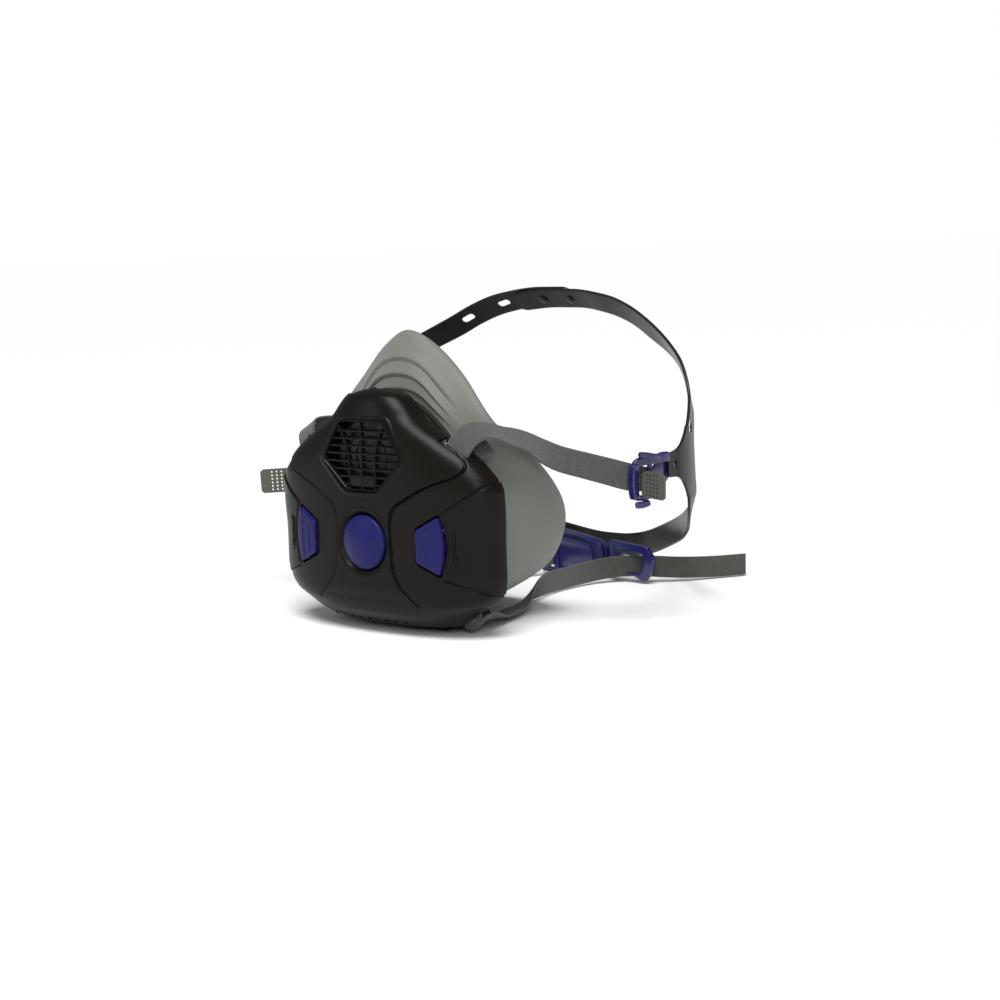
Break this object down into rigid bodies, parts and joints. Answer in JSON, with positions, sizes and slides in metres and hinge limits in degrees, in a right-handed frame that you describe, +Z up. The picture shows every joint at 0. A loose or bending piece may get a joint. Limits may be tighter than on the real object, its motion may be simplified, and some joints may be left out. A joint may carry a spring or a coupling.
{
  "type": "half-mask respirator",
  "caption": "Half-mask respirator with side cartridge ports, seal-check button, speaking diaphragm, soft face seal and head harness.",
  "frame": {"origin": "on the flat foot under the housing, in the middle plane, at the level of the table", "axes": "+X to the wearer's left, +Y from the front of the mask towards the head, +Z up"},
  "size_m": [0.2594, 0.2177, 0.1572],
  "materials": {
    "housing_plastic": "satin moulded",
    "insert_plastic": "satin moulded",
    "diaphragm_film": "thin glossy film",
    "blue_plastic": "satin to gloss moulded",
    "spring_steel": "drawn wire",
    "valve_seat_plastic": "satin moulded",
    "valve_silicone": "thin translucent silicone",
    "gasket_rubber": "soft rubber",
    "seal_silicone": "matte soft-touch silicone",
    "upper_knit": "heathered knitted elastic",
    "strap_tab_rubber": "moulded strap end",
    "cradle_plastic": "semi-flexible moulded, satin",
    "neck_webbing": "woven elastic webbing"
  },
  "bodies": {
    "mask": {"front_housing": "housing_plastic", "base_plate": "housing_plastic", "centre_panel": "housing_plastic", "grille": "housing_plastic", "speaking_diaphragm": "diaphragm_film", "diaphragm_ring": "insert_plastic", "seal_check_spring": "spring_steel", "inner_body": "insert_plastic", "exhalation_seat": "valve_seat_plastic", "exhaust_cover": "insert_plastic", "face_seal": "seal_silicone", "seal_clamp_ring": "insert_plastic", "screw_posts": "housing_plastic", "housing_screws": "spring_steel", "left_release_spring": "spring_steel", "right_release_spring": "spring_steel", "left_inhalation_seat": "valve_seat_plastic", "right_inhalation_seat": "valve_seat_plastic", "left_port_socket": "housing_plastic", "right_port_socket": "housing_plastic", "left_port_gasket": "gasket_rubber", "right_port_gasket": "gasket_rubber", "left_upper_anchor": "housing_plastic", "right_upper_anchor": "housing_plastic", "left_upper_loop": "upper_knit", "right_upper_loop": "upper_knit", "left_lower_anchor": "housing_plastic", "right_lower_anchor": "housing_plastic", "left_lower_loop": "neck_webbing", "right_lower_loop": "neck_webbing"},
    "seal_check": {"seal_check_button": "blue_plastic", "shutter_yoke": "insert_plastic"},
    "left_release": {"left_release_button": "blue_plastic"},
    "right_release": {"right_release_button": "blue_plastic"},
    "left_inhalation_valve": {"left_inhalation_flap": "valve_silicone"},
    "right_inhalation_valve": {"right_inhalation_flap": "valve_silicone"},
    "exhalation_valve": {"exhalation_flap": "valve_silicone"},
    "upper_straps": {"left_upper_strap": "upper_knit", "right_upper_strap": "upper_knit", "left_upper_buckle": "blue_plastic", "right_upper_buckle": "blue_plastic", "left_strap_tab": "strap_tab_rubber", "right_strap_tab": "strap_tab_rubber"},
    "cradle": {"left_crown_strap": "cradle_plastic", "right_crown_strap": "cradle_plastic", "crown_pegs": "cradle_plastic", "occipital_band": "cradle_plastic", "left_cradle_plate": "cradle_plastic", "right_cradle_plate": "cradle_plastic"},
    "neck_strap": {"left_neck_strap": "neck_webbing", "neck_clip_frame": "blue_plastic", "right_neck_strap": "neck_webbing"},
    "neck_clip": {"neck_clip_hook": "blue_plastic"}
  },
  "joints": [
    {"name": "seal_check_press", "type": "slide", "parent": "mask", "child": "seal_check", "axis": [0, 1, 0], "range_m": [0, 0.003], "stiffness_N_per_m": 400, "springref_m": -0.0015, "deforming": ["seal_check_spring"]},
    {"name": "left_release_press", "type": "slide", "parent": "mask", "child": "left_release", "axis": [0, 1, 0], "range_m": [0, 0.0018], "stiffness_N_per_m": 500, "springref_m": -0.001, "deforming": ["left_release_spring"]},
    {"name": "right_release_press", "type": "slide", "parent": "mask", "child": "right_release", "axis": [0, 1, 0], "range_m": [0, 0.0018], "stiffness_N_per_m": 500, "springref_m": -0.001, "deforming": ["right_release_spring"]},
    {"name": "left_inhalation_lift", "type": "slide", "parent": "mask", "child": "left_inhalation_valve", "axis": [0, 1, 0], "range_m": [0, 0.0015], "stiffness_N_per_m": 20, "springref_m": -0.0005},
    {"name": "right_inhalation_lift", "type": "slide", "parent": "mask", "child": "right_inhalation_valve", "axis": [0, 1, 0], "range_m": [0, 0.0015], "stiffness_N_per_m": 20, "springref_m": -0.0005},
    {"name": "exhalation_lift", "type": "slide", "parent": "mask", "child": "exhalation_valve", "axis": [0, -1, 0], "range_m": [0, 0.0015], "stiffness_N_per_m": 20, "springref_m": -0.0005},
    {"name": "harness_swing", "type": "hinge", "parent": "mask", "child": "upper_straps", "pos_m": [0, -0.0145, 0.0883], "axis": [1, 0, 0], "range_deg": [0, 60]},
    {"name": "cradle_tilt", "type": "hinge", "parent": "upper_straps", "child": "cradle", "pos_m": [0, 0.071, 0.074], "axis": [1, 0, 0], "range_deg": [0, 25]},
    {"name": "neck_strap_swing", "type": "hinge", "parent": "mask", "child": "neck_strap", "pos_m": [0, -0.0055, 0.0076], "axis": [1, 0, 0], "range_deg": [-50, 0]},
    {"name": "neck_clip_open", "type": "hinge", "parent": "neck_strap", "child": "neck_clip", "pos_m": [-0.018, 0.1375, 0.01], "axis": [0, 0, 1], "range_deg": [0, 30]}
  ]
}
